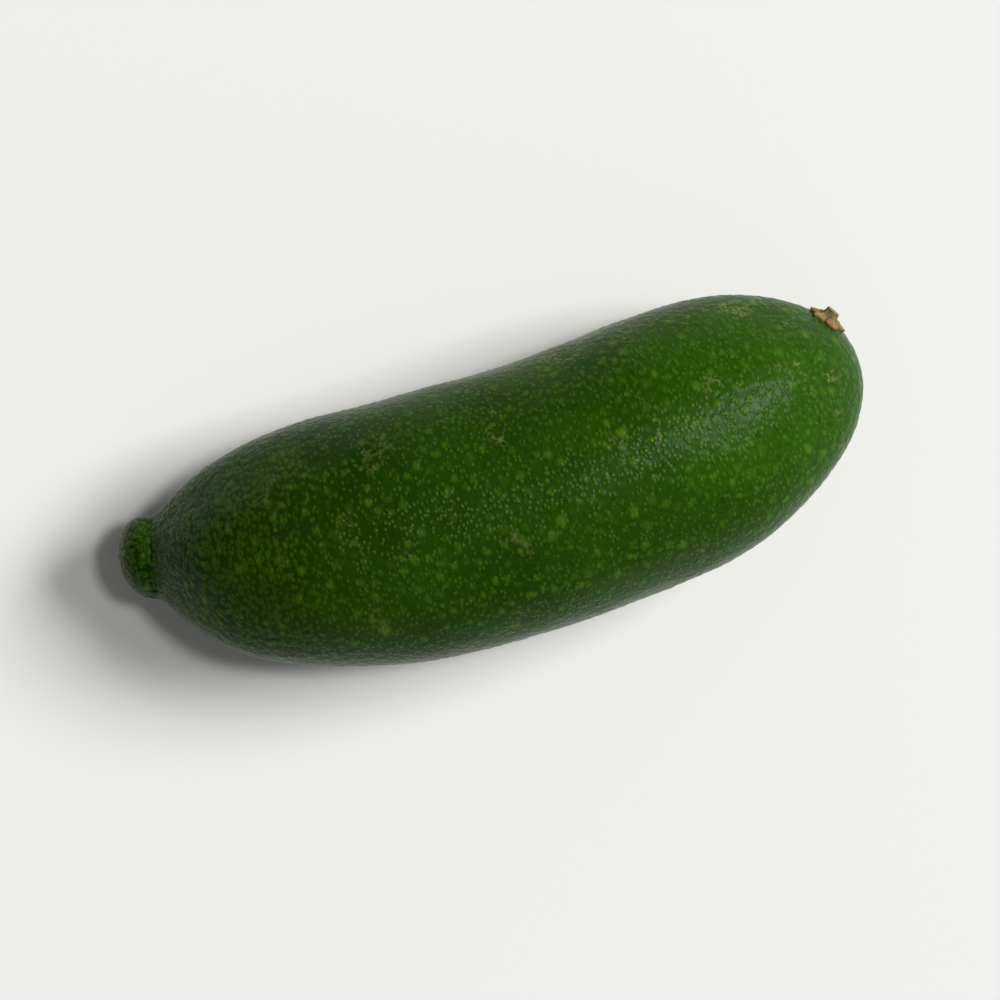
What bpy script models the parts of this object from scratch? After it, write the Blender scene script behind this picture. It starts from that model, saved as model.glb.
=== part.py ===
"""Finger lime (Citrus australasica), picked, lying on a flat surface.

The fruit is one solid: a bowed body, longer than wide, with a blunt knob at its blossom end and a
small dry button where it grew on the twig. It lies on its side with its hollow edge a little down,
as it does when laid on a table. Metres, +Z up. +X runs from the knob towards the button. The
origin is the middle of the footprint's box, on the surface under the fruit.
"""

import math

import bmesh
import bpy
import numpy as np
from mathutils import Matrix, Vector

MM = 0.001

# The line through the middle of the body is an arc of a circle
CHORD = 59.4 * MM  # straight distance between its two ends
BOW = 5.5 * MM  # how far its middle lies off that straight line
ARC_RADIUS = ((CHORD / 2) ** 2 + BOW**2) / (2 * BOW)
HALF_TURN = math.asin(CHORD / 2 / ARC_RADIUS)
LENGTH = 2 * HALF_TURN * ARC_RADIUS  # along the arc

# The body's radius along that arc, counted from the knob's tip
BELLY_RADIUS = 10.42 * MM
BELLY_AT = 42.0 * MM  # the thickest place, nearer the twig
SHOULDER_AT = 2.95 * MM  # where the body starts to swell out of the knob
NECK_SOFTNESS = 0.62  # 0.5 swells out square to the knob, more is a softer neck
KNOB_END_FULLNESS = 5.2  # 2 is an ellipse's end, more is blunter
TWIG_END_FULLNESS = 2.0

# The knob that the flower's style leaves
KNOB_RADIUS = 3.22 * MM
KNOB_ROUNDING = 2.9 * MM  # length of its rounded tip
KNOB_FULLNESS = 2.4
KNOB_REACH = 12.0 * MM  # how far into the body it still adds to the radius
KNOB_BLEND = 3  # how tightly it meets the body: a higher number is a sharper crease
KNOB_ASIDE = 0.38 * MM  # how far it sits off the arc, towards the bulging side
KNOB_SLANT = 0.16  # how far its hollow side leads, as a share of the distance off the arc
KNOB_LEAN_REACH = 6.0 * MM  # both fade out over this length
SCAR_RADIUS = 1.1 * MM  # the shallow pit in its tip, where the style broke off
SCAR_DEPTH = 0.35 * MM

# Faint ridges along the body, one over each segment inside, strongest near the ends
RIDGES = 5
RIDGE_PHASE = 0.8  # radians round the body
RIDGE_MIDDLE = 0.004  # height as a share of the radius
RIDGE_ENDS = 0.035
RIDGE_PEAK = 5.0 * MM  # where they are highest at the knob's end
RIDGE_REACH = 9.0 * MM  # how far the stronger ridges run in from each end
RIDGE_FADE = 4.0 * MM  # the very tips have none
RIDGE_UNEVEN = 0.4  # radians that they stray from even spacing
RIDGE_DRIFT = 0.6  # radians that they turn round the body from tip to tip

# Broad low dents, each a wave over the skin: its height as a share of the radius, its length
# along the body, where it starts in radians, and how often it repeats round the body
DENTS = ((0.006, 27.0 * MM, 1.1, 2), (0.004, 13.0 * MM, 0.3, 1), (0.004, 19.0 * MM, 1.6, 3))
DENT_FADE = 8.0 * MM  # the knob has none

# The button: the dried calyx with the cut stalk in its middle, a little off the body's end
BUTTON_AT = LENGTH - 0.85 * MM
BUTTON_TURN = math.radians(70)  # round the body from its hollow side
BUTTON_RADIUS = 1.7 * MM
BUTTON_LOBES = 5
BUTTON_NOTCH = 0.3 * MM  # depth between two lobes
BUTTON_DOME = 0.55 * MM
BUTTON_SUNK = 0.12 * MM  # its rim lies this much lower than the rind under its middle
STALK_RADIUS = 0.62 * MM
STALK_TAPER = 0.9  # its cut end's radius as a share of that
STALK_LENGTH = 0.9 * MM

# How it lies
LEAN = math.radians(31.6)  # turn about its length, hollow edge down
PITCH = math.radians(1.6)  # the twig end lies this much higher
SETTLE = 0.18 * MM  # depth of the flat that its weight rests on

AROUND = 60  # points round the body
RINGS = 68  # steps from tip to tip
CALYX_AROUND = 40
CALYX_RINGS = 12
STALK_AROUND = 16
KNOB_DETAIL = 1.6  # how much denser than elsewhere the rings get at the knob
KNOB_DETAIL_REACH = 5.0 * MM
SMALLEST_EDGE = 0.02 * MM
STEP_ALONG = 0.05 * MM  # two short steps over the skin that give its slope under the button
STEP_ROUND = 0.02


def body_radius(s):
    """Radius at the distance s from the knob's tip: an end like a superellipse on each side of
    the belly, and the knob's own rounded cylinder, which fades out inside the body, joined by a
    third-power sum."""
    to_knob = np.clip((BELLY_AT - s) / (BELLY_AT - SHOULDER_AT), 0, 1) ** KNOB_END_FULLNESS
    to_twig = np.clip((s - BELLY_AT) / (LENGTH - BELLY_AT), 0, 1) ** TWIG_END_FULLNESS
    swell = BELLY_RADIUS * np.where(s < BELLY_AT, (1 - to_knob) ** NECK_SOFTNESS, np.sqrt(1 - to_twig))
    rounding = np.clip((KNOB_ROUNDING - s) / KNOB_ROUNDING, 0, 1) ** KNOB_FULLNESS
    knob = KNOB_RADIUS * np.sqrt(1 - rounding) * np.exp(-((s / KNOB_REACH) ** 4))
    return (swell**KNOB_BLEND + knob**KNOB_BLEND) ** (1 / KNOB_BLEND)


def relief(s, turn):
    """Factor on the radius at the distance s and the angle turn round the body: a cosine with
    one wave for each ridge, plus the long, low waves of the dents."""
    knob_end = np.exp(-(((s - RIDGE_PEAK) / RIDGE_REACH) ** 2))
    twig_end = np.exp(-(((LENGTH - s) / RIDGE_REACH) ** 2))
    height = RIDGE_MIDDLE + (RIDGE_ENDS - RIDGE_MIDDLE) * (knob_end + twig_end)
    stray = RIDGE_UNEVEN * np.sin(turn) + RIDGE_DRIFT * s / LENGTH
    fade = np.clip(s / RIDGE_FADE, 0, 1) * np.clip((LENGTH - s) / RIDGE_FADE, 0, 1)
    factor = 1 + height * fade * np.cos(RIDGES * (turn - RIDGE_PHASE) + stray)
    for share, wave, start, rounds in DENTS:
        dent = share * np.sin(2 * math.pi * s / wave + start + rounds * turn)
        factor += dent * np.clip(s / DENT_FADE, 0, 1)
    return factor


def along_even_steps(share):
    """Distance s for a share from 0 to 1 of the way over the skin from tip to tip, so that the
    rings lie evenly over the rounded ends too. The way over the knob counts for more, which
    brings the rings closer together there."""
    s = np.linspace(0, LENGTH, 4001)
    r = body_radius(s)
    weight = 1 + KNOB_DETAIL * np.exp(-((s[1:] / KNOB_DETAIL_REACH) ** 2))
    travelled = np.concatenate([[0], np.cumsum(weight * np.hypot(np.diff(s), np.diff(r)))])
    return np.interp(share * travelled[-1], travelled, s)


def arc_frame(s):
    """Centre point at s on the arc, the arc's direction, and the direction to its hollow side.
    The arc lies in the XY plane, with its ends on the X axis and its middle at -Y. Towards the
    knob's tip the centre moves a little off the arc."""
    angle = s / ARC_RADIUS - HALF_TURN
    zero = np.zeros_like(angle)
    centre = [ARC_RADIUS * np.sin(angle), ARC_RADIUS * (1 - np.cos(angle)) - BOW, zero]
    ahead = [np.cos(angle), np.sin(angle), zero]
    hollow = [-np.sin(angle), np.cos(angle), zero]
    centre, ahead, hollow = (np.stack(parts, -1) for parts in (centre, ahead, hollow))
    aside = KNOB_ASIDE * np.exp(-((s / KNOB_LEAN_REACH) ** 2))
    return centre - aside[..., None] * hollow, ahead, hollow


def make_material(name, colour, roughness):
    """A plain Principled BSDF material of its own."""
    material = bpy.data.materials.new(name)
    material.use_nodes = True
    material.diffuse_color = colour
    surface = material.node_tree.nodes["Principled BSDF"]
    surface.inputs["Base Color"].default_value = colour
    surface.inputs["Roughness"].default_value = roughness
    surface.inputs["Metallic"].default_value = 0.0
    return material


def add_object(name, bm, collection):
    """Puts the bmesh into a new object in the collection."""
    mesh = bpy.data.meshes.new(name)
    bm.to_mesh(mesh)
    bm.free()
    made = bpy.data.objects.new(name, mesh)
    collection.objects.link(made)
    return made


def skin_point(s, turn):
    """The point of the rind at the distance s along the arc and the angle turn round it. The
    pit in the knob's tip pushes the points nearest the axis inwards, along the arc, and the
    knob's slant shifts each point along the arc by its distance to the hollow side."""
    centre, ahead, hollow = arc_frame(s)
    up = np.array([0.0, 0.0, 1.0])
    radius = body_radius(s) * relief(s, turn)
    side = np.cos(turn)[..., None] * hollow + np.sin(turn)[..., None] * up
    pit = np.where(s < BELLY_AT, SCAR_DEPTH * np.exp(-((radius / SCAR_RADIUS) ** 4)), 0)
    slant = KNOB_SLANT * np.exp(-((s / KNOB_LEAN_REACH) ** 2)) * radius * np.cos(turn)
    return centre + radius[..., None] * side + (pit - slant)[..., None] * ahead


def make_body(collection):
    """The body: a UV sphere whose points are moved onto the bowed, ridged form. A point's
    height on the sphere gives its place along the arc, and its longitude its turn round it."""
    bm = bmesh.new()
    bmesh.ops.create_uvsphere(bm, u_segments=AROUND, v_segments=RINGS, radius=1.0)
    ball = np.array([v.co for v in bm.verts])
    share = np.arccos(np.clip(-ball[:, 2], -1, 1)) / math.pi
    turn = np.arctan2(ball[:, 1], ball[:, 0])
    for vert, place in zip(bm.verts, skin_point(along_even_steps(share), turn)):
        vert.co = place
    bmesh.ops.recalc_face_normals(bm, faces=bm.faces)
    return add_object("fruit", bm, collection)


def button_place():
    """Matrix that stands a piece modelled on the XY plane on the rind where the button grows.
    Its Z axis is the rind's own, from two short steps along the skin."""
    s = BUTTON_AT + np.array([0, STEP_ALONG, 0])
    turn = BUTTON_TURN + np.array([0, 0, STEP_ROUND])
    here, along, round_it = (Vector(p) for p in skin_point(s, turn))
    outward = (round_it - here).cross(along - here).normalized()
    return Matrix.Translation(here) @ outward.to_track_quat("Z", "Y").to_matrix().to_4x4()


def make_button(collection):
    """The dried calyx, a low dome with a scalloped rim, and the stub of stalk in its middle."""
    bm = bmesh.new()
    bmesh.ops.create_uvsphere(bm, u_segments=CALYX_AROUND, v_segments=CALYX_RINGS, radius=1.0)
    for vert in bm.verts:
        lobe = 0.5 + 0.5 * math.cos(BUTTON_LOBES * math.atan2(vert.co.y, vert.co.x))
        reach = BUTTON_RADIUS - BUTTON_NOTCH * (1 - lobe)
        vert.co = (vert.co.x * reach, vert.co.y * reach, vert.co.z * BUTTON_DOME - BUTTON_SUNK)
    calyx = add_object("calyx", bm, collection)
    bm = bmesh.new()
    bmesh.ops.create_cone(
        bm,
        cap_ends=True,
        segments=STALK_AROUND,
        radius1=STALK_RADIUS,
        radius2=STALK_RADIUS * STALK_TAPER,
        depth=2 * STALK_LENGTH,
    )
    stalk = add_object("stalk", bm, collection)
    for piece in (calyx, stalk):
        piece.matrix_world = button_place()
    return calyx, stalk


def fuse(body, others):
    """Joins the other solids to the body and removes them."""
    bpy.context.view_layer.update()
    for other in others:
        union = body.modifiers.new("join_" + other.name, "BOOLEAN")
        union.operation = "UNION"
        union.object = other
    graph = bpy.context.evaluated_depsgraph_get()
    joined = bpy.data.meshes.new_from_object(body.evaluated_get(graph))
    body.modifiers.clear()
    body.data = joined
    for other in others:
        bpy.data.objects.remove(other)


def lay_down(body):
    """Turns the fruit to the way it rests, cuts the small flat that it rests on at z = 0, and
    centres its box over the origin."""
    bm = bmesh.new()
    bm.from_mesh(body.data)
    bmesh.ops.dissolve_degenerate(bm, dist=SMALLEST_EDGE, edges=bm.edges)
    bm.transform(Matrix.Rotation(-PITCH, 4, "Y") @ Matrix.Rotation(-LEAN, 4, "X"))
    low = min(v.co.z for v in bm.verts)
    bm.transform(Matrix.Translation((0, 0, -low - SETTLE)))
    everything = bm.verts[:] + bm.edges[:] + bm.faces[:]
    cut = bmesh.ops.bisect_plane(
        bm, geom=everything, dist=SMALLEST_EDGE, plane_co=(0, 0, 0), plane_no=(0, 0, -1), clear_outer=True
    )
    rim = [e for e in cut["geom_cut"] if isinstance(e, bmesh.types.BMEdge)]
    for vert in {v for e in rim for v in e.verts}:
        vert.co.z = 0
    bmesh.ops.holes_fill(bm, edges=rim, sides=0)
    bmesh.ops.recalc_face_normals(bm, faces=bm.faces)
    for axis in (0, 1):
        places = [v.co[axis] for v in bm.verts]
        middle = (min(places) + max(places)) / 2
        for vert in bm.verts:
            vert.co[axis] -= middle
    bm.to_mesh(body.data)
    bm.free()


def main():
    for old in list(bpy.data.objects):
        bpy.data.objects.remove(old)
    collection = bpy.data.collections.new("finger_lime")
    bpy.context.scene.collection.children.link(collection)
    fruit = make_body(collection)
    fuse(fruit, make_button(collection))
    lay_down(fruit)
    fruit.data.materials.clear()
    fruit.data.materials.append(make_material("rind", (0.02, 0.06, 0.005, 1.0), 0.4))
    fruit.data.shade_smooth()
    fruit.data.set_sharp_from_angle(angle=math.radians(50))


main()
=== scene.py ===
"""How a picked finger lime looks, lying on a pale table: its rind, style scar, calyx and stalk are
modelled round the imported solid, in metres and in the solid's own frame."""

import math

import bpy
import numpy as np
from mathutils import Matrix, Vector


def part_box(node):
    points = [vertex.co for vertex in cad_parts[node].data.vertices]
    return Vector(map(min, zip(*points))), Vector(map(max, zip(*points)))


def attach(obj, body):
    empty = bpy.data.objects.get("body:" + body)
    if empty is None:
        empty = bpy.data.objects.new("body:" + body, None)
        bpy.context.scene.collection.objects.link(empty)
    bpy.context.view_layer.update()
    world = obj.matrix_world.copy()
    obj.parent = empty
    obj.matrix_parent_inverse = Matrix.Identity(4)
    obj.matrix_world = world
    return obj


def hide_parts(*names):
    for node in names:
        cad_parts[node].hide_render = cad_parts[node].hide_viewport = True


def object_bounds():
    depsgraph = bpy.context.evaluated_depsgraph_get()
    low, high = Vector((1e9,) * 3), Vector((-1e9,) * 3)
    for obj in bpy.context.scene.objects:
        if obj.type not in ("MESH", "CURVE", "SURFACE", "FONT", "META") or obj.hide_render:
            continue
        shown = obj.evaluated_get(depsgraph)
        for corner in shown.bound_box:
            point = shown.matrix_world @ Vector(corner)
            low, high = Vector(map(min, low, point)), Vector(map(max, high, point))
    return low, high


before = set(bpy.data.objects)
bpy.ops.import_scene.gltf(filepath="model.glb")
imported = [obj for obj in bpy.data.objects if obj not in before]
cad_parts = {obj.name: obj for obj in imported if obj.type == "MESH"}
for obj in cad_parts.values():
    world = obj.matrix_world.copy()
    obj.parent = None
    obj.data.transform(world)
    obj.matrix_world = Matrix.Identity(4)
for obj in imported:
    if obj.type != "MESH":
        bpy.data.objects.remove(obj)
cad_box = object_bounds()

# Rind: the fruit's whole skin, grown in one piece from the knob at the blossom end to the twig
# end. It is citrus peel, firm and waxy, packed with oil glands that stand a little proud. Under
# the fruit it is pressed flat where the weight rests.

MM = 0.001  # lengths are in metres

CHORD = 59.4 * MM  # straight from tip to tip
BOW = 5.5 * MM  # how far the middle of the fruit lies off that line
ARC_RADIUS = ((CHORD / 2) ** 2 + BOW**2) / (2 * BOW)
HALF_TURN = math.asin(CHORD / 2 / ARC_RADIUS)
LENGTH = 2 * HALF_TURN * ARC_RADIUS

BELLY_RADIUS = 10.42 * MM
BELLY_AT = 42.0 * MM  # from the knob's tip, along the arc
SHOULDER_AT = 2.95 * MM  # where the body starts to swell out of the knob
NECK_SOFTNESS = 0.62  # 0.5 swells out square to the knob, more is a softer neck
KNOB_END_FULLNESS = 5.2  # 2 is an ellipse's end, more is blunter
TWIG_END_FULLNESS = 2.0
KNOB_RADIUS = 3.22 * MM
KNOB_ROUNDING = 2.9 * MM  # length of its rounded tip
KNOB_FULLNESS = 2.4
KNOB_REACH = 12.0 * MM  # how far into the body it still adds to the radius
KNOB_BLEND = 3  # a higher number is a sharper crease where it meets the body
KNOB_ASIDE = 0.38 * MM  # how far the knob sits off the arc, towards the bulging side
KNOB_SLANT = 0.16  # how far its hollow side leads, as a share of the distance off the arc
KNOB_LEAN_REACH = 6.0 * MM  # both fade out over this length
PIT_RADIUS = 1.1 * MM  # in the knob's tip
PIT_DEPTH = 0.35 * MM


def body_radius(s):
    """The fruit's radius at the distance s from the knob's tip: an end like a superellipse on
    each side of the belly, and the knob's rounded cylinder, which fades out inside the body. The
    two are joined by the cube root of the sum of their cubes."""
    to_knob = np.clip((BELLY_AT - s) / (BELLY_AT - SHOULDER_AT), 0, 1) ** KNOB_END_FULLNESS
    to_twig = np.clip((s - BELLY_AT) / (LENGTH - BELLY_AT), 0, 1) ** TWIG_END_FULLNESS
    knob_side = (1 - to_knob) ** NECK_SOFTNESS
    twig_side = np.sqrt(1 - to_twig)
    swell = BELLY_RADIUS * np.where(s < BELLY_AT, knob_side, twig_side)
    rounding = np.clip((KNOB_ROUNDING - s) / KNOB_ROUNDING, 0, 1) ** KNOB_FULLNESS
    knob = KNOB_RADIUS * np.sqrt(1 - rounding) * np.exp(-((s / KNOB_REACH) ** 4))
    return (swell**KNOB_BLEND + knob**KNOB_BLEND) ** (1 / KNOB_BLEND)


RIDGES = 5  # one over each segment inside
RIDGE_PHASE = 0.8  # radians round the fruit
RIDGE_MIDDLE = 0.004  # height as a share of the radius
RIDGE_ENDS = 0.035
RIDGE_PEAK = 5.0 * MM  # where they are highest at the knob's end
RIDGE_REACH = 9.0 * MM  # how far the higher ridges run in from each end
RIDGE_FADE = 4.0 * MM  # the very tips have none
RIDGE_UNEVEN = 0.4  # radians of the wave that they stray from even spacing
RIDGE_DRIFT = 0.6  # and that they drift round the fruit from tip to tip

# Of each dent: its height as a share of the radius, the length of its wave, where that starts,
# and how many waves it has round the fruit
DENTS = ((0.006, 27.0 * MM, 1.1, 2), (0.004, 13.0 * MM, 0.3, 1), (0.004, 19.0 * MM, 1.6, 3))
DENT_FADE = 8.0 * MM  # the knob has none


def ridges_and_dents(s, turn):
    """Factor on the radius at s and the angle turn round the fruit: a cosine with one wave for
    each ridge, stronger near both ends, plus a long, low sine wave for each dent."""
    knob_end = np.exp(-(((s - RIDGE_PEAK) / RIDGE_REACH) ** 2))
    twig_end = np.exp(-(((LENGTH - s) / RIDGE_REACH) ** 2))
    height = RIDGE_MIDDLE + (RIDGE_ENDS - RIDGE_MIDDLE) * (knob_end + twig_end)
    stray = RIDGE_UNEVEN * np.sin(turn) + RIDGE_DRIFT * s / LENGTH
    fade = np.clip(s / RIDGE_FADE, 0, 1) * np.clip((LENGTH - s) / RIDGE_FADE, 0, 1)
    factor = 1 + height * fade * np.cos(RIDGES * (turn - RIDGE_PHASE) + stray)
    for share, wave, start, rounds in DENTS:
        dent = share * np.sin(2 * math.pi * s / wave + start + rounds * turn)
        factor += dent * np.clip(s / DENT_FADE, 0, 1)
    return factor


def smooth_skin(s, turn):
    """Point of the bare form at s and turn, before it is laid down: the arc's centre plus the
    radius, in the direction that turns from the hollow side towards +Z. Near the knob's tip the
    centre moves off the arc, the hollow side leads the other, and a pit pushes the points nearest
    the axis inwards."""
    angle = s / ARC_RADIUS - HALF_TURN
    sine, cosine, none = np.sin(angle), np.cos(angle), np.zeros_like(angle)
    centre = np.stack([ARC_RADIUS * sine, ARC_RADIUS * (1 - cosine) - BOW, none], -1)
    ahead = np.stack([cosine, sine, none], -1)
    hollow = np.stack([-sine, cosine, none], -1)
    lean = np.exp(-((s / KNOB_LEAN_REACH) ** 2))
    radius = body_radius(s) * ridges_and_dents(s, turn)
    side = np.cos(turn)[..., None] * hollow + np.sin(turn)[..., None] * np.array([0, 0, 1.0])
    pit = np.where(s < BELLY_AT, PIT_DEPTH * np.exp(-((radius / PIT_RADIUS) ** 4)), 0)
    onward = pit - KNOB_SLANT * lean * radius * np.cos(turn)
    off_arc = radius[..., None] * side - KNOB_ASIDE * lean[..., None] * hollow
    return centre + off_arc + onward[..., None] * ahead


RIND_RINGS = 322  # they make 197,000 triangles in all
RIND_AROUND = 308  # points in a ring
KNOB_DETAIL = 0.5  # how much denser the rings lie at the knob
KNOB_DETAIL_REACH = 6.0 * MM
FINE_PLACES = 6001  # along the arc, for sums over the skin

fine_s = np.linspace(0, LENGTH, FINE_PLACES)
fine_step = np.hypot(np.diff(fine_s), np.diff(body_radius(fine_s)))
weight = 1 + KNOB_DETAIL * np.exp(-((fine_s[1:] / KNOB_DETAIL_REACH) ** 2))
way = np.concatenate([[0], np.cumsum(fine_step * weight)])  # weighed way over the skin up to s
ring_s = np.interp(np.linspace(0, way[-1], RIND_RINGS), way, fine_s)
round_turn = np.linspace(0, 2 * math.pi, RIND_AROUND, endpoint=False)
s, turn = np.meshgrid(ring_s, round_turn, indexing="ij")
skin = smooth_skin(s, turn)


def outward(points):
    """Unit normals of a grid of points whose rows run round the piece: the cross product of the
    steps to the neighbours, and at each end row, a pole, the mean of the row beside it."""
    along = np.gradient(points, axis=0)
    around = np.roll(points, -1, 1) - np.roll(points, 1, 1)
    normal = np.cross(around, along)
    normal[0] = normal[1].mean(0)
    normal[-1] = normal[-2].mean(0)
    return normal / np.linalg.norm(normal, axis=-1, keepdims=True)


GLAND_PITCH = 0.82 * MM  # from one oil gland to the next, along the fruit
KNOB_PITCH = 0.62  # at the knob they stand this share of that apart
KNOB_PITCH_REACH = 7.0 * MM
GLAND_WIDE = 1.35  # round the fruit they are this much wider
GLAND_STRAY = 0.36  # how far a gland lies off its even place, as a share of the pitch
GLAND_SIZES = (0.75, 1.3)  # smallest and largest, against the even size
FEWEST_IN_RING = 6
FAR = 9.0  # further than any gland that counts, in gland sizes

rng = np.random.default_rng(7)  # one seed, so that each run grows the same fruit


def oil_glands(s, turn):
    """Two numbers for every point: how far it lies from the groove between two oil glands, from 0
    in the groove to 1 at a gland's middle, and a random number that all of a gland shares. Glands
    stand in rings, as many in a ring as fit round it, every other ring turned by half a gland,
    and each strays a little from its place. The first number is the distance to the second
    nearest gland less that to the nearest, each divided by the gland's own size."""
    pitch = GLAND_PITCH * (1 - (1 - KNOB_PITCH) * np.exp(-((fine_s[1:] / KNOB_PITCH_REACH) ** 2)))
    fine_ring = np.concatenate([[0], np.cumsum(fine_step / pitch)])  # rings passed up to each s
    rings = int(fine_ring[-1])
    ring_at = np.arange(rings) + 0.5
    ring_pitch = np.interp(ring_at, fine_ring[1:], pitch)
    ring_radius = body_radius(np.interp(ring_at, fine_ring, fine_s))
    count = np.round(2 * math.pi * ring_radius / ring_pitch / GLAND_WIDE).astype(int)
    count = np.maximum(count, FEWEST_IN_RING)
    shape = (rings, count.max())
    stray_ahead, stray_round = rng.uniform(-GLAND_STRAY, GLAND_STRAY, (2, *shape))
    size = rng.uniform(*GLAND_SIZES, shape)
    shade = rng.uniform(0, 1, shape)
    here = np.interp(s, fine_s, fine_ring)
    nearest = np.full(s.shape, FAR)
    second = np.full(s.shape, FAR)
    number = np.zeros(s.shape)
    for ring_step in (-1, 0, 1):
        asked = here.astype(int) + ring_step
        ring = np.clip(asked, 0, rings - 1)
        place = turn / (2 * math.pi) * count[ring] - 0.5 * (ring % 2)
        wide = 2 * math.pi * ring_radius[ring] / count[ring] / ring_pitch[ring] / GLAND_WIDE
        for round_step in (-2, -1, 0, 1, 2):
            slot = np.floor(place).astype(int) + round_step
            which = (ring, slot % count[ring])
            aside = (slot + 0.5 + stray_round[which] - place) * wide
            apart = np.hypot(aside, ring_at[ring] + stray_ahead[which] - here) / size[which]
            apart = np.where(ring == asked, apart, FAR)
            closer = apart < nearest
            second = np.where(closer, nearest, np.minimum(second, apart))
            number = np.where(closer, shade[which], number)
            nearest = np.where(closer, apart, nearest)
    return np.clip(second - nearest, 0, 1), number


WAVES = 24
WAVE_LENGTHS = (2.5 * MM, 9.0 * MM)  # shortest and longest


def low_waves(points):
    """Uneven growth of the peel: a sum of sine waves that run through space in random directions,
    with lengths between the two given, longer waves higher."""
    total = np.zeros(points.shape[:-1])
    for length in np.geomspace(*WAVE_LENGTHS, WAVES):
        direction = rng.normal(size=3)
        direction *= 2 * math.pi / length / np.linalg.norm(direction)
        start = rng.uniform(0, 2 * math.pi)
        total += length / WAVE_LENGTHS[0] * np.sin(points @ direction + start)
    return total / WAVES**0.5


CREASES = 19  # fine creases that run along the fruit where the knob meets it
CREASE_AT = 3.6 * MM
CREASE_REACH = 2.6 * MM
CREASE_NARROW = 3  # a higher number is a narrower crease
CREASE_STRAY = (1.1, 0.77)  # radians of the cosine, in 2 and in 5 waves round the fruit
CREASE_TWIST = 90.0  # radians that the second of them turns from tip to tip


def sines(turn, waves):
    """Sum of sine waves round a piece: each is a height, how many waves a full turn has, and the
    angle that they start at."""
    return sum(height * np.sin(count * turn + start) for height, count, start in waves)


def neck_creases(s, turn):
    """Depth from 0 to 1 of the creases round the knob's neck: the narrow high parts of a cosine
    with an uneven turn, strongest at the neck."""
    slow, quick = CREASE_STRAY
    stray = sines(turn, ((slow, 2, 1), (quick, 5, CREASE_TWIST * s / LENGTH)))
    cosine = 0.5 + 0.5 * np.cos(CREASES * turn + stray)
    return cosine**CREASE_NARROW * np.exp(-(((s - CREASE_AT) / CREASE_REACH) ** 2))


GLAND_HEIGHT = 0.055 * MM
GLAND_LOWEST = 0.7  # height of a gland whose random number is 0, against the even height
GLAND_VARIES = 0.5  # how much higher one stands whose number is 1
GLAND_ROUNDNESS = 1.9
WAVE_HEIGHT = 0.014 * MM
CREASE_DEPTH = 0.03 * MM

gland, gland_shade = oil_glands(s, turn)
crease = neck_creases(s, turn)
dome = 1 - (1 - gland) ** GLAND_ROUNDNESS
lift = GLAND_HEIGHT * dome * (GLAND_LOWEST + GLAND_VARIES * gland_shade)
lift += WAVE_HEIGHT * low_waves(skin) - CREASE_DEPTH * crease
grown = skin + lift[..., None] * outward(skin)

LEAN = math.radians(31.6)  # turn about its length, hollow edge down
PITCH = math.radians(1.6)  # the twig end lies this much higher


def laid_down():
    """Matrix that turns the form to the way it lies and puts it in the solid's place: its knob at
    the solid's low X, its middle at the solid's in Y and its top at the solid's top."""
    tilt = Matrix.Rotation(-PITCH, 4, "Y") @ Matrix.Rotation(-LEAN, 4, "X")
    turned = skin @ np.array(tilt.to_3x3()).T
    low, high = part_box("fruit")
    x = low.x - turned[..., 0].min()
    y = (low.y + high.y) / 2 - (turned[..., 1].min() + turned[..., 1].max()) / 2
    z = high.z - turned[..., 2].max()
    return Matrix.Translation((x, y, z)) @ tilt


def moved(points, matrix):
    """The points, turned and shifted by the matrix."""
    return points @ np.array(matrix.to_3x3()).T + np.array(matrix.translation)


def closed_mesh(name, points, **numbers):
    """New object from a grid of points whose rows run round the piece and whose first and last
    rows are poles: four-sided faces between the rows, and a fan at each pole. The numbers are
    grids too and become point attributes."""
    rows, columns = points.shape[:2]

    def one_pole_each(grid):
        return np.concatenate([grid[:1, 0], grid[1:-1].reshape(-1, *grid.shape[2:]), grid[-1:, 0]])

    index = 1 + np.arange((rows - 2) * columns).reshape(rows - 2, columns)
    beside = np.roll(index, -1, 1)
    quads = np.stack([index[:-1], beside[:-1], beside[1:], index[1:]], -1).reshape(-1, 4)
    last = (rows - 2) * columns + 1
    first_fan = np.stack([np.zeros(columns, int), beside[0], index[0]], -1)
    last_fan = np.stack([np.full(columns, last), index[-1], beside[-1]], -1)
    faces = [*quads.tolist(), *first_fan.tolist(), *last_fan.tolist()]
    mesh = bpy.data.meshes.new(name)
    mesh.from_pydata(one_pole_each(points), [], faces)
    for label, grid in numbers.items():
        attribute = mesh.attributes.new(label, "FLOAT", "POINT")
        attribute.data.foreach_set("value", one_pole_each(grid).astype(np.float32))
    mesh.shade_smooth()
    made = bpy.data.objects.new(name, mesh)
    bpy.context.scene.collection.objects.link(made)
    return made


SHADED_MOST = 0.5
SHADED_AT = 0.62  # share of the length
SHADED_REACH = 0.28
SHADED_FACING = Vector((0.1, 0.75, -0.65))  # towards the hollow edge and down
SHADED_FROM = 0.25  # the patch begins at this cosine
SHADED_SLOPE = 1.6
SHADED_UNEVEN = 0.06


def shaded_patch(points, s):
    """How much paler the peel is where leaves kept the light off: a bell curve along the fruit
    times the cosine between the peel's normal and the shaded direction, its edge made uneven by
    the low waves."""
    facing = outward(points) @ np.array(SHADED_FACING.normalized())
    bell = np.exp(-(((s / LENGTH - SHADED_AT) / SHADED_REACH) ** 2))
    paler = bell * (facing - SHADED_FROM) * SHADED_SLOPE + SHADED_UNEVEN * low_waves(points)
    return SHADED_MOST * np.clip(paler, 0, 1)


lie = laid_down()
placed = moved(grown, lie)
placed[..., 2] = np.maximum(placed[..., 2], 0)
shaded = shaded_patch(moved(skin, lie), s)
rind = closed_mesh(
    "rind", placed, gland=gland, shade=gland_shade, along=s / LENGTH, crease=crease, shaded=shaded
)


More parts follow.
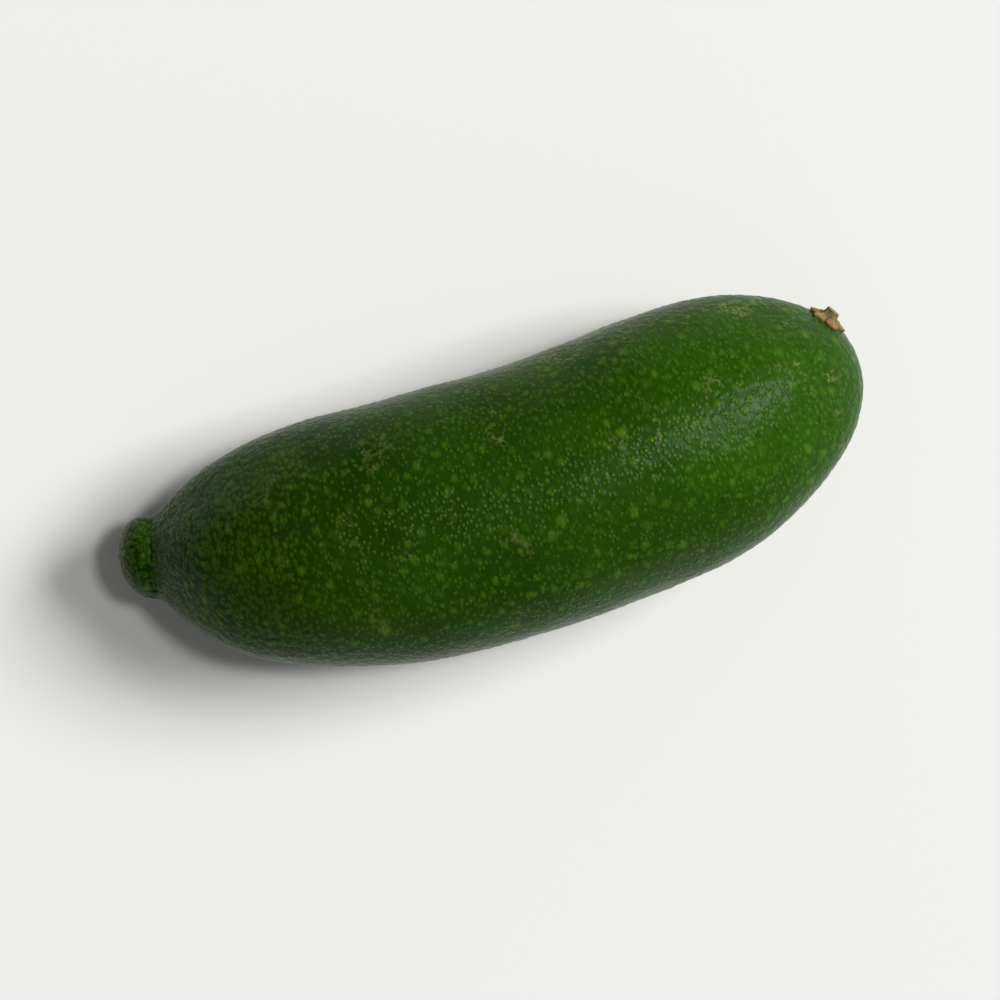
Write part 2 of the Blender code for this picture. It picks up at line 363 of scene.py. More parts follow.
def linear(code):
    """Linear RGBA of an sRGB hex colour, opaque: each channel goes through the sRGB curve."""
    channels = [int(code[i : i + 2], 16) / 255 for i in (1, 3, 5)]
    return [c / 12.92 if c <= 0.04045 else ((c + 0.055) / 1.055) ** 2.4 for c in channels] + [1.0]


def add(tree, kind, inputs=None, stops=None, **settings):
    """Adds a node. Its settings are properties, its inputs take a value or another node's output,
    and stops are a colour ramp's places and hex colours."""
    node = tree.nodes.new(kind)
    for label, value in settings.items():
        setattr(node, label, value)
    for label, value in (inputs or {}).items():
        if isinstance(value, bpy.types.NodeSocket):
            tree.links.new(value, node.inputs[label])
        else:
            node.inputs[label].default_value = value
    if stops:
        ramp = node.color_ramp
        while len(ramp.elements) < len(stops):
            ramp.elements.new(1.0)
        for element, (place, colour) in zip(ramp.elements, stops):
            element.position = place
            element.color = linear(colour)
    return node


def new_material(name):
    """New material with its node tree and its surface node."""
    made = bpy.data.materials.new(name)
    made.use_nodes = True
    return made, made.node_tree, made.node_tree.nodes["Principled BSDF"]


FACTOR, A, B, MIXED = 0, 6, 7, 2  # a colour Mix node's sockets
NUMBER_A, NUMBER_B = 2, 3  # those of one that mixes numbers

PEEL_DEEP = "#102a00"
PEEL_GREEN = "#244a00"
# brown of the knob's tip, darkened further as painted shade on the walls of its pit
PEEL_TIP_AND_PIT_SHADE = "#4e4016"
PEEL_KNOB = "#121f02"
PEEL_BODY = "#1b3d00"
PEEL_TWIG_END = "#2e5a03"
PEEL_SHADED = "#59741a"
# darkest green of the painted shade in the grooves between glands and in the neck creases
GROOVE_SHADE = "#0e2400"
GLAND_DULL = "#112a00"
GLAND_PALE = "#50791a"
PATCH_SIZE = 7.0 * MM  # the lighter and darker patches of the green
ENDS_COUNT = 0.55  # share of the colour that goes by the place along the fruit
# how much painted shade falls in the grooves between glands and in the neck creases
GROOVE_SHADE_SHARE = 0.35
CREASE_SHADE_SHARE = 0.45
GLAND_TINT = 0.6

# Waxy citrus peel, grown under a thin coat of wax: satin, with a glint on each gland that faces a
# lamp. Its green varies from patch to patch and from gland to gland.
peel, tree, surface = new_material("waxy_citrus_peel")
place = add(tree, "ShaderNodeTexCoord").outputs["Object"]
glands = add(tree, "ShaderNodeAttribute", attribute_name="gland").outputs["Fac"]
shades = add(tree, "ShaderNodeAttribute", attribute_name="shade").outputs["Fac"]
length_share = add(tree, "ShaderNodeAttribute", attribute_name="along").outputs["Fac"]
shaded_side = add(tree, "ShaderNodeAttribute", attribute_name="shaded").outputs["Fac"]
creases = add(tree, "ShaderNodeAttribute", attribute_name="crease").outputs["Fac"]
patches = add(
    tree, "ShaderNodeTexNoise", {"Vector": place, "Scale": 1 / PATCH_SIZE, "Detail": 3.0}
).outputs["Fac"]
ground = add(
    tree, "ShaderNodeValToRGB", {"Fac": patches},
    stops=[(0.35, PEEL_DEEP), (0.65, PEEL_GREEN)],
)
# Along the fruit: brown at the knob's tip with painted shade on the walls of its pit, dark green
# on the knob, lighter towards the twig end.
ends_and_pit_shade = add(
    tree, "ShaderNodeValToRGB", {"Fac": length_share},
    stops=[(0.004, PEEL_TIP_AND_PIT_SHADE), (0.025, PEEL_KNOB), (0.4, PEEL_BODY), (0.9, PEEL_TWIG_END)],
)
whole = add(
    tree, "ShaderNodeMix", {FACTOR: ENDS_COUNT, A: ground.outputs[0], B: ends_and_pit_shade.outputs[0]},
    data_type="RGBA",
)
paler = add(
    tree, "ShaderNodeMix", {FACTOR: shaded_side, A: whole.outputs[MIXED], B: linear(PEEL_SHADED)},
    data_type="RGBA",
)
# Painted shade: the grooves between the large glands and the creases round the knob's neck are
# darkened in colour.
groove_shade_share = add(
    tree, "ShaderNodeMapRange",
    {"Value": glands, "From Min": 0.0, "From Max": 0.4, "To Min": GROOVE_SHADE_SHARE, "To Max": 0.0},
)
hollow_shade_share = add(
    tree, "ShaderNodeMath", {0: creases, 1: CREASE_SHADE_SHARE, 2: groove_shade_share.outputs[0]},
    operation="MULTIPLY_ADD",
)
with_hollow_shade = add(
    tree, "ShaderNodeMix",
    {FACTOR: hollow_shade_share.outputs[0], A: paler.outputs[MIXED], B: linear(GROOVE_SHADE)},
    data_type="RGBA",
)
gland_tint = add(
    tree, "ShaderNodeValToRGB", {"Fac": shades},
    stops=[(0.35, GLAND_DULL), (1.0, GLAND_PALE)],
)
tint_share = add(
    tree, "ShaderNodeMapRange",
    {"Value": glands, "From Min": 0.3, "From Max": 0.9, "To Max": GLAND_TINT},
)
tinted = add(
    tree, "ShaderNodeMix",
    {FACTOR: tint_share.outputs[0], A: with_hollow_shade.outputs[MIXED], B: gland_tint.outputs[0]},
    data_type="RGBA",
)

# Small glands lie between the large ones, wider round the fruit than along it. Away from the knob
# each shows as a paler dot. Towards the knob a pale ring round each is a painted highlight, a
# glint drawn in the colour.
SMALL_PITCH = 0.5 * MM
SMALL_CLOSER = (1.4, 1.0, 1.0)  # along the fruit they stand this much closer
SMALL_HEIGHT = 0.042 * MM
DOT_PALE = 0.3
# Painted highlight: the pale ring round each small gland near the knob stands in for its glint.
NO_GLINT_RING = "#000000"  # the ring's two greys are read as shares
PAINTED_GLINT_RING = "#9a9a9a"

stretched = add(tree, "ShaderNodeMapping", {"Vector": place, "Scale": SMALL_CLOSER})
small = add(
    tree, "ShaderNodeTexVoronoi",
    {"Vector": stretched.outputs[0], "Scale": 1 / SMALL_PITCH, "Randomness": 0.9},
).outputs["Distance"]
dot = add(
    tree, "ShaderNodeMapRange",
    {"Value": small, "From Min": 0.1, "From Max": 0.45, "To Min": DOT_PALE, "To Max": 0.0},
    interpolation_type="SMOOTHSTEP",
)
# Painted highlight: a pale ring round each small gland, used towards the knob.
ring = add(
    tree, "ShaderNodeValToRGB", {"Fac": small},
    stops=[(0.15, NO_GLINT_RING), (0.42, PAINTED_GLINT_RING), (0.6, NO_GLINT_RING)],
)
glint_ring_share = add(
    tree, "ShaderNodeMapRange",
    {"Value": length_share, "From Min": 0.1, "From Max": 0.32, "To Min": 1.0, "To Max": 0.0},
)
dot_and_glint_ring = add(
    tree, "ShaderNodeMix",
    {FACTOR: glint_ring_share.outputs[0], NUMBER_A: dot.outputs[0], NUMBER_B: ring.outputs[0]},
)
with_dots_and_glint_rings = add(
    tree, "ShaderNodeMix",
    {FACTOR: dot_and_glint_ring.outputs[0], A: tinted.outputs[MIXED], B: linear(GLAND_PALE)},
    data_type="RGBA",
)

# Russet: where a twig rubbed the young fruit its peel healed with flecks of thin cork, 0.1 to
# 0.5 mm wide. They are the places where a rough noise passes its middle value, in small patches,
# faint towards the knob and plainest near the twig end.
FLECK_SPREAD = 2.2 * MM  # size of the noise that they are cut from
FLECK_BAND = 0.022  # how near the middle value it has to be
RUSSET = "#868750"
RUB_SIZE = 4.0 * MM
RUB_AT_KNOB = 0.12
RUB_AT_TWIG = 0.46

frayed = add(
    tree, "ShaderNodeTexNoise",
    {"Vector": place, "Scale": 1 / FLECK_SPREAD, "Detail": 6.0, "Roughness": 0.68},
).outputs["Fac"]
on_fleck = add(
    tree, "ShaderNodeMath", {0: frayed, 1: 0.5, 2: FLECK_BAND}, operation="COMPARE"
)
rubbed = add(
    tree, "ShaderNodeTexNoise", {"Vector": place, "Scale": 1 / RUB_SIZE, "Detail": 3.0}
).outputs["Fac"]
rub_most = add(
    tree, "ShaderNodeMapRange",
    {
        "Value": length_share, "From Min": 0.3, "From Max": 0.65,
        "To Min": RUB_AT_KNOB, "To Max": RUB_AT_TWIG,
    },
)
rub_share = add(
    tree, "ShaderNodeMapRange",
    {"Value": rubbed, "From Min": 0.61, "From Max": 0.7, "To Max": rub_most.outputs[0]},
)
russet = add(
    tree, "ShaderNodeMath", {0: on_fleck.outputs[0], 1: rub_share.outputs[0]},
    operation="MULTIPLY",
)
russeted = add(
    tree, "ShaderNodeMix",
    {FACTOR: russet.outputs[0], A: with_dots_and_glint_rings.outputs[MIXED], B: linear(RUSSET)},
    data_type="RGBA",
)
tree.links.new(russeted.outputs[MIXED], surface.inputs["Base Color"])

# The wax lies unevenly, so the gloss varies with the patches. Its own grain is finer than the
# render shows, so it is drawn as wide as it needs to show.
WAX_SMOOTH = 0.22
WAX_DULL = 0.36
WAX_GRAIN = 0.16 * MM
WAX_RELIEF = 0.02 * MM

gloss = add(
    tree, "ShaderNodeMapRange", {"Value": patches, "To Min": WAX_SMOOTH, "To Max": WAX_DULL}
)
tree.links.new(gloss.outputs[0], surface.inputs["Roughness"])
small_dome = add(
    tree, "ShaderNodeMapRange",
    {"Value": small, "From Min": 0.0, "From Max": 0.6, "To Min": 1.0, "To Max": 0.0},
    interpolation_type="SMOOTHSTEP",
)
swollen = add(
    tree, "ShaderNodeBump",
    {"Height": small_dome.outputs[0], "Strength": 1.0, "Distance": SMALL_HEIGHT},
)
grain_noise = add(
    tree, "ShaderNodeTexNoise", {"Vector": place, "Scale": 1 / WAX_GRAIN, "Detail": 2.0}
).outputs["Fac"]
grain = add(
    tree, "ShaderNodeBump",
    {"Height": grain_noise, "Strength": 0.4, "Distance": WAX_RELIEF, "Normal": swollen.outputs[0]},
)
tree.links.new(grain.outputs[0], surface.inputs["Normal"])
surface.inputs["IOR"].default_value = 1.38
surface.inputs["Specular IOR Level"].default_value = 0.12
surface.inputs["Subsurface Weight"].default_value = 0.06
surface.inputs["Subsurface Radius"].default_value = (0.4, 0.8, 0.2)
surface.inputs["Subsurface Scale"].default_value = 1.0 * MM
rind.data.materials.append(peel)
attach(rind, "root")
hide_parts("fruit")

# Style scar: the dry cork that closed over the knob's tip where the flower's style fell off, with
# a stump of the style in its middle. It grew on the fruit and fills the bottom of the tip's pit.

SCAR_RADIUS = 0.95 * MM
SCAR_EDGE = ((0.054, 3, 0.7), (0.036, 7, 2.1))  # sine waves, as shares of the radius
SCAR_THICK = 0.12 * MM
SCAR_ROOT = 0.4 * MM  # how far it reaches under the skin
CRUMB_HEIGHT = 0.025 * MM
CRUMB_WAVES = ((9, 30.0), (2, 23.0))  # how many go round, and radians from the middle out
STUMP_RADIUS = 0.24 * MM
STUMP_HEIGHT = 0.26 * MM
SCAR_ROWS = 60
SCAR_AROUND = 96
SCAR_TOP = 0.75  # share of the rows that lie in sight


def round_grid(rows, columns, first):
    """Three grids for a round piece: the share of the way out from its middle, which rises from 0
    to 1 over the first share of the rows and falls back to 0 over the rest, the turn about its
    middle, and 1 in the first rows and 0 in the rest."""
    row = np.linspace(0, 1, rows)
    around = np.linspace(0, 2 * math.pi, columns, endpoint=False)
    out = np.where(row < first, row / first, (1 - row) / (1 - first))
    out, turn = np.meshgrid(out, around, indexing="ij")
    return out, turn, np.broadcast_to((row < first)[:, None] * 1.0, out.shape)


def style_scar():
    """Points of the scar, and its share of the way out: the knob's own skin out to a radius that
    two sine waves make uneven, lifted outwards by a crust with a rounded edge, by crumbs that are
    a product of two sine waves, and by the stump's bell curve. The root lies under the skin."""
    out, turn, top = round_grid(SCAR_ROWS, SCAR_AROUND, SCAR_TOP)
    radius = out * SCAR_RADIUS * (1 + sines(turn, SCAR_EDGE))
    tip_s = fine_s[fine_s < KNOB_ROUNDING]
    points = smooth_skin(np.interp(radius, body_radius(tip_s), tip_s), turn)
    one, other = (np.sin(count * turn + way * out) for count, way in CRUMB_WAVES)
    crumbs = CRUMB_HEIGHT * one * other * out
    stump = STUMP_HEIGHT * np.exp(-((radius / STUMP_RADIUS) ** 4))
    over = (SCAR_THICK + crumbs) * np.sqrt(1 - out**6) + stump
    under = -SCAR_ROOT * (1 - out**2)
    outwards = np.array([-math.cos(HALF_TURN), math.sin(HALF_TURN), 0])
    return points + np.where(top > 0, over, under)[..., None] * outwards, out


points, out = style_scar()
scar = closed_mesh("style_scar", moved(points, lie), out=out)

CORK_DARK = "#4b3820"
CORK_PALE = "#8f7650"
SCAR_COLOURS = (  # from the stump in the middle out to the edge
    (0.08, "#2e2115"), (0.2, "#7a5f3a"), (0.32, "#3f301c"), (0.5, "#80683f"), (1.0, "#4b4022"),
)
CORK_GRAIN = 0.18 * MM
CORK_RELIEF = 0.04 * MM

# Cork, dried on the tree: matt and crumbly, grey-brown with a dark stump.
cork, tree, surface = new_material("dry_cork")
place = add(tree, "ShaderNodeTexCoord").outputs["Object"]
out_share = add(tree, "ShaderNodeAttribute", attribute_name="out").outputs["Fac"]
crumbly = add(
    tree, "ShaderNodeTexNoise", {"Vector": place, "Scale": 1 / CORK_GRAIN, "Detail": 4.0}
).outputs["Fac"]
crust = add(
    tree, "ShaderNodeValToRGB", {"Fac": crumbly}, stops=[(0.35, CORK_DARK), (0.65, CORK_PALE)]
)
across_scar = add(tree, "ShaderNodeValToRGB", {"Fac": out_share}, stops=SCAR_COLOURS)
cork_colour = add(
    tree, "ShaderNodeMix", {FACTOR: 0.5, A: crust.outputs[0], B: across_scar.outputs[0]},
    data_type="RGBA",
)
tree.links.new(cork_colour.outputs[MIXED], surface.inputs["Base Color"])
crumb_bump = add(
    tree, "ShaderNodeBump", {"Height": crumbly, "Strength": 0.8, "Distance": CORK_RELIEF}
)
tree.links.new(crumb_bump.outputs[0], surface.inputs["Normal"])
surface.inputs["Roughness"].default_value = 0.85
scar.data.materials.append(cork)
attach(scar, "root")
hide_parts("fruit")

# Calyx: the dried cup of five sepals that held the flower. It is thin, papery and brown, and grew
# on the fruit's twig end, where its lobes lie on the rind and their tips have curled up a little.

BUTTON_AT = LENGTH - 0.85 * MM  # where its middle stands, along the arc
BUTTON_TURN = math.radians(70)
STEP_ALONG = 0.05 * MM  # two small steps over the skin, which give its normal there
STEP_ROUND = 0.02
SEPALS = 5
CALYX_RADIUS = 1.7 * MM
CLEFT = 0.34  # how far the clefts between the sepals cut in, as a share of the radius
CLEFT_WIDE = 0.6  # less is a narrower cleft
SEPAL_POINT = 0.07  # how far each sepal's point stands out, as a share of the radius
POINT_WIDE = 0.09  # and how wide it is, and the vein behind it, in sepals
CALYX_EDGE = ((0.035, 3, 1.2), (0.02, 11, 0))  # sine waves, as shares of the radius
SEPAL_THICK = 0.14 * MM
SEPAL_LIES = 0.09 * MM  # above the rind, at half its thickness
TIP_CURL = 0.16 * MM
CALYX_DOME = 0.3 * MM
CALYX_ROOT = 0.5 * MM  # how far it reaches under the skin
COLLAR_HEIGHT = 0.09 * MM
COLLAR_AT = 0.5  # share of the way out
COLLAR_WIDE = 0.07
VEIN_HEIGHT = 0.045 * MM
WRINKLE_HEIGHT = 0.022 * MM
WRINKLES = 37
WRINKLE_STRAY = ((2.0, 5, 1.0),)  # one sine wave, in radians
WRINKLE_TWIST = 6.0  # radians from the middle out
CALYX_ROWS = 90
CALYX_AROUND = 240
CALYX_UNDER = 0.35  # share of the rows that lie out of sight
FIT_REACH = 2.2 * MM
FIT_PLACES = 161  # along the arc


def twig_place():
    """Matrix that stands a piece modelled on the XY plane on the rind at the twig end: three
    points of the skin give the place and the normal."""
    here, ahead, beside = smooth_skin(
        BUTTON_AT + np.array([0, STEP_ALONG, 0]), BUTTON_TURN + np.array([0, 0, STEP_ROUND])
    )
    facing = Vector(np.cross(beside - here, ahead - here)).normalized()
    return Matrix.Translation(here) @ facing.to_track_quat("Z", "Y").to_matrix().to_4x4()


def second_degree(x, y):
    """The six terms of a second-degree surface over x and y."""
    return np.stack([np.ones_like(x), x, y, x * x, x * y, y * y], -1)


def skin_terms(place):
    """Factors of the second-degree surface, in the frame of the matrix place, that fits the skin
    near the calyx best by least squares."""
    near_s = np.linspace(BUTTON_AT - 2 * FIT_REACH, LENGTH, FIT_PLACES)
    near = smooth_skin(*np.meshgrid(near_s, round_turn, indexing="ij")).reshape(-1, 3)
    x, y, z = moved(near, place.inverted()).T
    close = np.hypot(x, y) < FIT_REACH
    return np.linalg.lstsq(second_degree(x, y)[close], z[close], rcond=None)[0]


def calyx_surface(place):
    """Points of the calyx in its own frame, and three numbers: the share of the way out, the
    sepals' veins and their clefts. The reach follows the root of a cosine with a wave for each
    sepal. Over the skin's fitted height lie the thickness, a dome round the stalk, a collar,
    veins, wrinkles that are sine waves in the turn, and the tips' curl."""
    out, turn, under = round_grid(CALYX_ROWS, CALYX_AROUND, CALYX_UNDER)
    lobe = np.abs(np.cos(SEPALS / 2 * turn)) ** CLEFT_WIDE
    aside = (turn * SEPALS / (2 * math.pi) + 0.5) % 1 - 0.5  # from a sepal's middle, in sepals
    point = np.exp(-((aside / POINT_WIDE) ** 2))
    uneven = sines(turn, CALYX_EDGE)
    reach = CALYX_RADIUS * (1 - CLEFT * (1 - lobe) + SEPAL_POINT * (point - 1) + uneven)
    x, y = out * reach * np.cos(turn), out * reach * np.sin(turn)
    middle = second_degree(x, y) @ skin_terms(place) + SEPAL_LIES + TIP_CURL * lobe * out**5
    edge = SEPAL_THICK / 2 * np.sqrt(1 - out**8)
    vein = point * np.clip(4 * out * (1 - out), 0, 1)
    wrinkle = np.sin(WRINKLES * turn + sines(turn, WRINKLE_STRAY) + WRINKLE_TWIST * out)
    wrinkle *= out * (1 - out**6)
    collar = np.exp(-(((out - COLLAR_AT) / COLLAR_WIDE) ** 2))
    over = CALYX_DOME * (1 - out**2) + edge + VEIN_HEIGHT * vein + WRINKLE_HEIGHT * wrinkle
    over += COLLAR_HEIGHT * collar
    below = -edge - CALYX_ROOT * (1 - out**4)
    points = np.stack([x, y, middle + np.where(under > 0, below, over)], -1)
    return points, out, vein, 1 - lobe


twig_end = twig_place()
points, out, vein, cleft = calyx_surface(twig_end)
calyx = closed_mesh("calyx", moved(points, lie @ twig_end), out=out, vein=vein, cleft=cleft)

SEPAL_COLOURS = (  # from under the stalk out to the tips
    (0.35, "#5c6128"), (0.6, "#7b6a36"), (0.85, "#8c6f3f"), (1.0, "#4f3a20"),
)
BLOTCH_DARK = "#4a3c1e"
BLOTCH_PALE = "#9a8450"
BLOTCH_SIZE = 0.35 * MM
VEIN_PALE = "#a58d58"
# painted shade in the clefts between the sepals
CLEFT_SHADE = "#33240f"
BLOTCH_RELIEF = 0.03 * MM

# Dried sepal, shrunk as it lost its water: papery and dull, olive near the stalk and brown at the
# tips, blotched, with a paler vein along each sepal. The clefts between the sepals are darkened as
# painted shade.
sepal, tree, surface = new_material("dried_sepal")
place = add(tree, "ShaderNodeTexCoord").outputs["Object"]
out_share = add(tree, "ShaderNodeAttribute", attribute_name="out").outputs["Fac"]
veins = add(tree, "ShaderNodeAttribute", attribute_name="vein").outputs["Fac"]
clefts = add(tree, "ShaderNodeAttribute", attribute_name="cleft").outputs["Fac"]
blotches = add(
    tree, "ShaderNodeTexNoise", {"Vector": place, "Scale": 1 / BLOTCH_SIZE, "Detail": 5.0}
).outputs["Fac"]
outwards = add(tree, "ShaderNodeValToRGB", {"Fac": out_share}, stops=SEPAL_COLOURS)
blotched = add(
    tree, "ShaderNodeValToRGB", {"Fac": blotches}, stops=[(0.35, BLOTCH_DARK), (0.65, BLOTCH_PALE)]
)
papery = add(
    tree, "ShaderNodeMix", {FACTOR: 0.35, A: outwards.outputs[0], B: blotched.outputs[0]},
    data_type="RGBA",
)
vein_share = add(tree, "ShaderNodeMapRange", {"Value": veins, "To Max": 0.5})
veined = add(
    tree, "ShaderNodeMix",
    {FACTOR: vein_share.outputs[0], A: papery.outputs[MIXED], B: linear(VEIN_PALE)},
    data_type="RGBA",
)
# Painted shade: darker towards the clefts between the sepals.
cleft_shade_share = add(tree, "ShaderNodeMapRange", {"Value": clefts, "From Min": 0.3, "To Max": 0.7})
with_cleft_shade = add(
    tree, "ShaderNodeMix",
    {FACTOR: cleft_shade_share.outputs[0], A: veined.outputs[MIXED], B: linear(CLEFT_SHADE)},
    data_type="RGBA",
)
tree.links.new(with_cleft_shade.outputs[MIXED], surface.inputs["Base Color"])
blotch_bump = add(
    tree, "ShaderNodeBump", {"Height": blotches, "Strength": 0.7, "Distance": BLOTCH_RELIEF}
)
tree.links.new(blotch_bump.outputs[0], surface.inputs["Normal"])
surface.inputs["Roughness"].default_value = 0.7
surface.inputs["Specular IOR Level"].default_value = 0.35
calyx.data.materials.append(sepal)
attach(calyx, "root")
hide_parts("fruit")

# Stalk: the stub of the twig that was left when the fruit was cut off. It has thin furrowed bark
# round pale wood with a darker pith, and grows out of the middle of the calyx.

STALK_RADIUS = 0.62 * MM
STALK_TAPER = 0.9  # radius at the cut, as a share of that at the root
STALK_LENGTH = 0.9 * MM
STALK_ROOT = 0.4 * MM  # how far it reaches under the skin
STALK_FLARE = 0.16 * MM
FLARE_AT = 0.35 * MM  # height where it comes out of the calyx
FLARE_REACH = 0.22 * MM
FURROWS = 11
FURROW_DEPTH = 0.05  # share of the radius
FURROW_STRAY = ((1.2, 2, 0.4), (0.6, 5, 1.9))  # sine waves, in radians
FURROW_TWIST = 0.5  # radians for each millimetre up
CUT_SLANT = 0.12
SLANT_TOWARDS = 0.8  # radians round the stalk, where the cut is highest
BARK_RIM = 0.045 * MM  # how far the bark stands above the wood
BARK_SHARE = 0.86  # of the radius, where the bark begins
RIM_EDGE = 0.05  # share of the radius over which the rim rises, and falls again
RAYS = 6  # the wood's rays stand up a little from the cut
RAY_HEIGHT = 0.02 * MM
STALK_ROWS = 90
STALK_AROUND = 120
STALK_SIDE = 0.6  # share of the rows on the side
ROOT_SHARE = 0.15  # share of those that close the root


def cut_stalk():
    """Points of the stalk in its own frame, and two numbers: the share of the radius, and 1 on
    the cut end. The side's radius falls evenly from the root, flares at the calyx by a bell curve
    and has furrows that are the low parts of a cosine. The cut end slants, the bark stands above
    the wood, and the wood's rays are the high parts of another cosine."""
    out, turn, side = round_grid(STALK_ROWS, STALK_AROUND, STALK_SIDE)
    side_share = np.linspace(0, 1, STALK_ROWS)[:, None] / STALK_SIDE + 0 * turn
    up = np.clip((side_share - ROOT_SHARE) / (1 - ROOT_SHARE), 0, 1)  # height share on the side
    height = -STALK_ROOT + (STALK_ROOT + STALK_LENGTH) * up
    stray = sines(turn, FURROW_STRAY) + FURROW_TWIST * height / MM
    furrow = (0.5 - 0.5 * np.cos(FURROWS * turn + stray)) ** 3
    flare = STALK_FLARE * np.exp(-(((height - FLARE_AT) / FLARE_REACH) ** 2))
    full = STALK_RADIUS * (1 - (1 - STALK_TAPER) * up) * (1 - FURROW_DEPTH * furrow) + flare
    closing = np.clip(side_share / ROOT_SHARE, 0, 1)
    radius = full * np.where(side > 0, closing, out)
    slant = CUT_SLANT * radius * np.cos(turn - SLANT_TOWARDS)
    rise, fall = (out - BARK_SHARE) / RIM_EDGE, (1 - out) / RIM_EDGE
    rim = BARK_RIM * np.clip(rise, 0, 1) * np.clip(fall, 0, 1)
    rays = RAY_HEIGHT * np.cos(RAYS * turn + 1) * out * (1 - out)
    height = np.where(side > 0, height + slant * up, STALK_LENGTH + slant + rim + rays)
    points = np.stack([radius * np.cos(turn), radius * np.sin(turn), height], -1)
    return points, np.where(side > 0, 1.0, out), 1 - side


points, share, cut = cut_stalk()
stalk = closed_mesh("stalk", moved(points, lie @ twig_end), share=share, cut=cut)

BARK_DARK = "#453a1f"
BARK_PALE = "#7c7040"
STREAK_SIZE = 0.2 * MM
BARK_RELIEF = 0.03 * MM
CUT_COLOURS = (  # from the pith through the wood to the bark
    (0.1, "#5e4426"), (0.26, "#b59b6a"), (0.78, "#a98f5c"), (0.86, "#66652f"), (0.95, "#4e4222"),
)

# Young bark and sapwood, cut with a blade and dried: the bark is dull and streaked, and the cut
# shows a dark pith in pale wood.
twig, tree, surface = new_material("dried_twig")
place = add(tree, "ShaderNodeTexCoord").outputs["Object"]
radius_share = add(tree, "ShaderNodeAttribute", attribute_name="share").outputs["Fac"]
cut_share = add(tree, "ShaderNodeAttribute", attribute_name="cut").outputs["Fac"]
streaks = add(
    tree, "ShaderNodeTexNoise", {"Vector": place, "Scale": 1 / STREAK_SIZE, "Detail": 4.0}
).outputs["Fac"]
bark = add(
    tree, "ShaderNodeValToRGB", {"Fac": streaks}, stops=[(0.35, BARK_DARK), (0.65, BARK_PALE)]
)
wood = add(tree, "ShaderNodeValToRGB", {"Fac": radius_share}, stops=CUT_COLOURS)
mottled = add(
    tree, "ShaderNodeMix", {FACTOR: 0.2, A: wood.outputs[0], B: bark.outputs[0]},
    data_type="RGBA",
)
twig_colour = add(
    tree, "ShaderNodeMix", {FACTOR: cut_share, A: bark.outputs[0], B: mottled.outputs[MIXED]},
    data_type="RGBA",
)
tree.links.new(twig_colour.outputs[MIXED], surface.inputs["Base Color"])
bark_bump = add(
    tree, "ShaderNodeBump", {"Height": streaks, "Strength": 0.7, "Distance": BARK_RELIEF}
)
tree.links.new(bark_bump.outputs[0], surface.inputs["Normal"])
surface.inputs["Roughness"].default_value = 0.8
stalk.data.materials.append(twig)
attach(stalk, "root")
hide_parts("fruit")

# Table: a plain sheet of pale card with a matt face, which reaches out of sight on every side. It
# lies a hair under the fruit's flats, so that the two never share a plane.

TABLE_HALF = 3.0
TABLE_GAP = 0.05 * MM
TABLE_PALE = "#e6e6e4"

table_mesh = bpy.data.meshes.new("table")
corners = np.array([(-1, -1, 0), (1, -1, 0), (1, 1, 0), (-1, 1, 0)]) * TABLE_HALF
corners[:, 2] = -TABLE_GAP
table_mesh.from_pydata(corners, [], [(0, 1, 2, 3)])
table = bpy.data.objects.new("table", table_mesh)
bpy.context.scene.collection.objects.link(table)
card, tree, surface = new_material("matt_white_card")
surface.inputs["Base Color"].default_value = linear(TABLE_PALE)
surface.inputs["Roughness"].default_value = 0.9
table_mesh.materials.append(card)

# Camera: it looks down, as the photographer's did. The fruit lay right of and below the middle of
# that picture, and its length rose to the right.

PICTURE_TURN = math.radians(16.3)
CAMERA_HEIGHT = 600 * MM
RIGHT_OF_MIDDLE = 17 * MM
BELOW_MIDDLE = 44 * MM
VIEW_WIDTH = 78 * MM
SENSOR_WIDTH = 36  # in millimetres, like the lens

right = Vector((math.cos(PICTURE_TURN), -math.sin(PICTURE_TURN), 0))
up = Vector((math.sin(PICTURE_TURN), math.cos(PICTURE_TURN), 0))
target = Vector((0, 0, cad_box[1][2] / 2))
eye = target - RIGHT_OF_MIDDLE * right + BELOW_MIDDLE * up + Vector((0, 0, CAMERA_HEIGHT))
back = (eye - target).normalized()
across = up.cross(back).normalized()
turned = Matrix((across, back.cross(across), back)).transposed().to_4x4()
camera_data = bpy.data.cameras.new("camera")
camera_data.sensor_width = SENSOR_WIDTH
camera_data.lens = SENSOR_WIDTH * (eye - target).length / VIEW_WIDTH
camera_data.clip_start = 0.01
camera = bpy.data.objects.new("camera", camera_data)
camera.matrix_world = Matrix.Translation(eye) @ turned
bpy.context.scene.collection.objects.link(camera)
bpy.context.scene.camera = camera

# Light: a large soft lamp from the picture's upper right, a small weak one overhead for glints,
# and what the room gives back, most from low on the right and least from the left and overhead.
# The room itself looks pale.

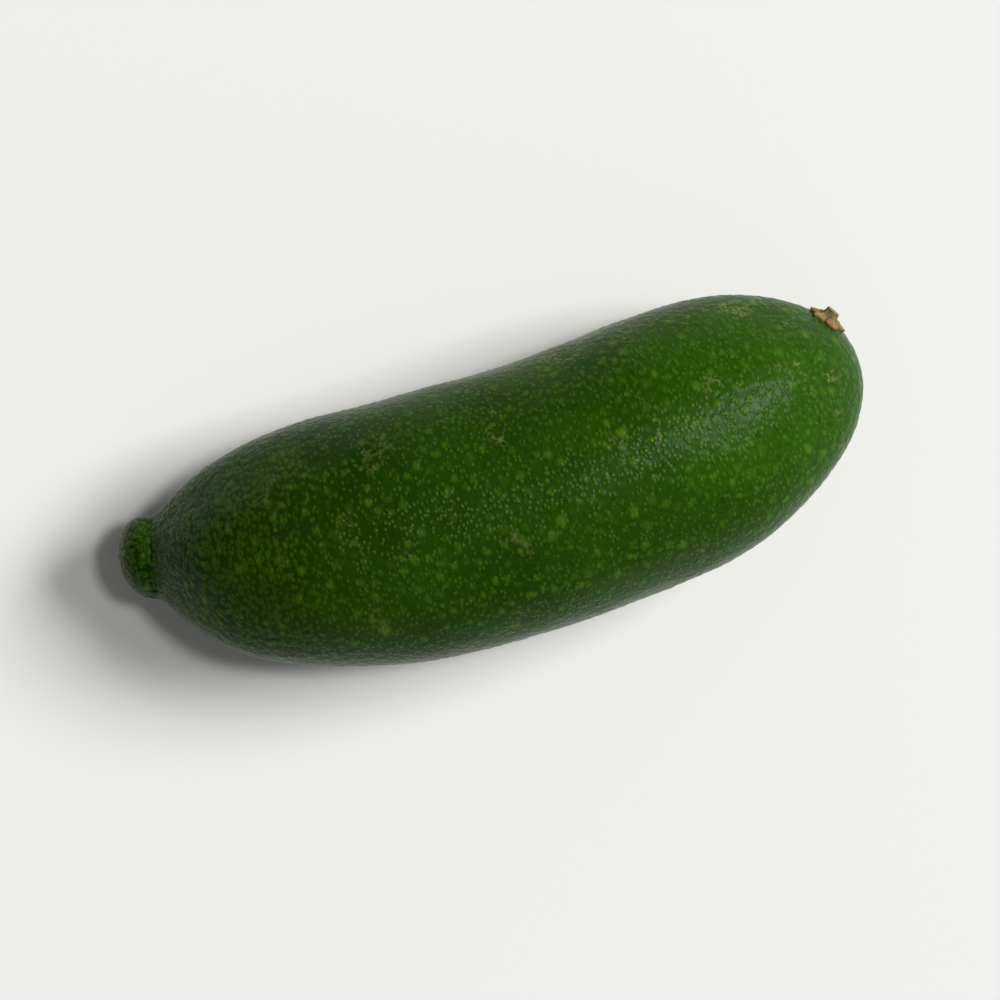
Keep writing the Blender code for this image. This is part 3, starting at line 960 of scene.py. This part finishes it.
LAMP_AWAY = 4.0
KEY_SIZE = 1.7
KEY_WATTS = 165.0
KEY_COLOUR = "#fffefc"
TOP_SIZE = 0.45
TOP_WATTS = 36.0
TOP_COLOUR = "#ffffff"


def soft_lamp(name, direction, size, watts, colour):
    """Square area lamp that stands away in that direction, facing the fruit."""
    data = bpy.data.lights.new(name, "AREA")
    data.shape = "SQUARE"
    data.size = size
    data.energy = watts
    data.color = linear(colour)[:3]
    lamp = bpy.data.objects.new(name, data)
    away = direction.normalized()
    facing = away.to_track_quat("Z", "Y").to_matrix().to_4x4()
    lamp.matrix_world = Matrix.Translation(away * LAMP_AWAY) @ facing
    bpy.context.scene.collection.objects.link(lamp)


overhead = Vector((0, 0, 1))
key_from = 0.85 * right + 0.35 * up + 0.95 * overhead
top_from = 0.25 * right + 0.15 * up + overhead
soft_lamp("key", key_from, KEY_SIZE, KEY_WATTS, KEY_COLOUR)
soft_lamp("top", top_from, TOP_SIZE, TOP_WATTS, TOP_COLOUR)

lit_wall = 0.8 * right - 0.6 * overhead
ROOM_SPREAD = 0.8  # cosine to the lit wall at which the room is brightest, and darkest if negative
ROOM_DARKEST = 0.1
ROOM_BRIGHTEST = 0.4
ROOM_LOOK = 0.85  # how bright the camera sees it
world = bpy.data.worlds.new("studio")
world.use_nodes = True
room = world.node_tree
seen = add(room, "ShaderNodeLightPath").outputs["Is Camera Ray"]
direction = add(room, "ShaderNodeTexCoord").outputs["Generated"]
to_lit_wall = add(
    room, "ShaderNodeVectorMath", {0: direction, 1: lit_wall}, operation="DOT_PRODUCT"
)
given_back = add(
    room, "ShaderNodeMapRange",
    {
        "Value": to_lit_wall.outputs["Value"], "From Min": -ROOM_SPREAD, "From Max": ROOM_SPREAD,
        "To Min": ROOM_DARKEST, "To Max": ROOM_BRIGHTEST,
    },
)
glow = add(
    room, "ShaderNodeMapRange",
    {"Value": seen, "To Min": given_back.outputs[0], "To Max": ROOM_LOOK},
)
room.links.new(glow.outputs[0], room.nodes["Background"].inputs["Strength"])
room.nodes["Background"].inputs["Color"].default_value = (1, 1, 1, 1)
bpy.context.scene.world = world
bpy.context.scene.view_settings.view_transform = "Standard"
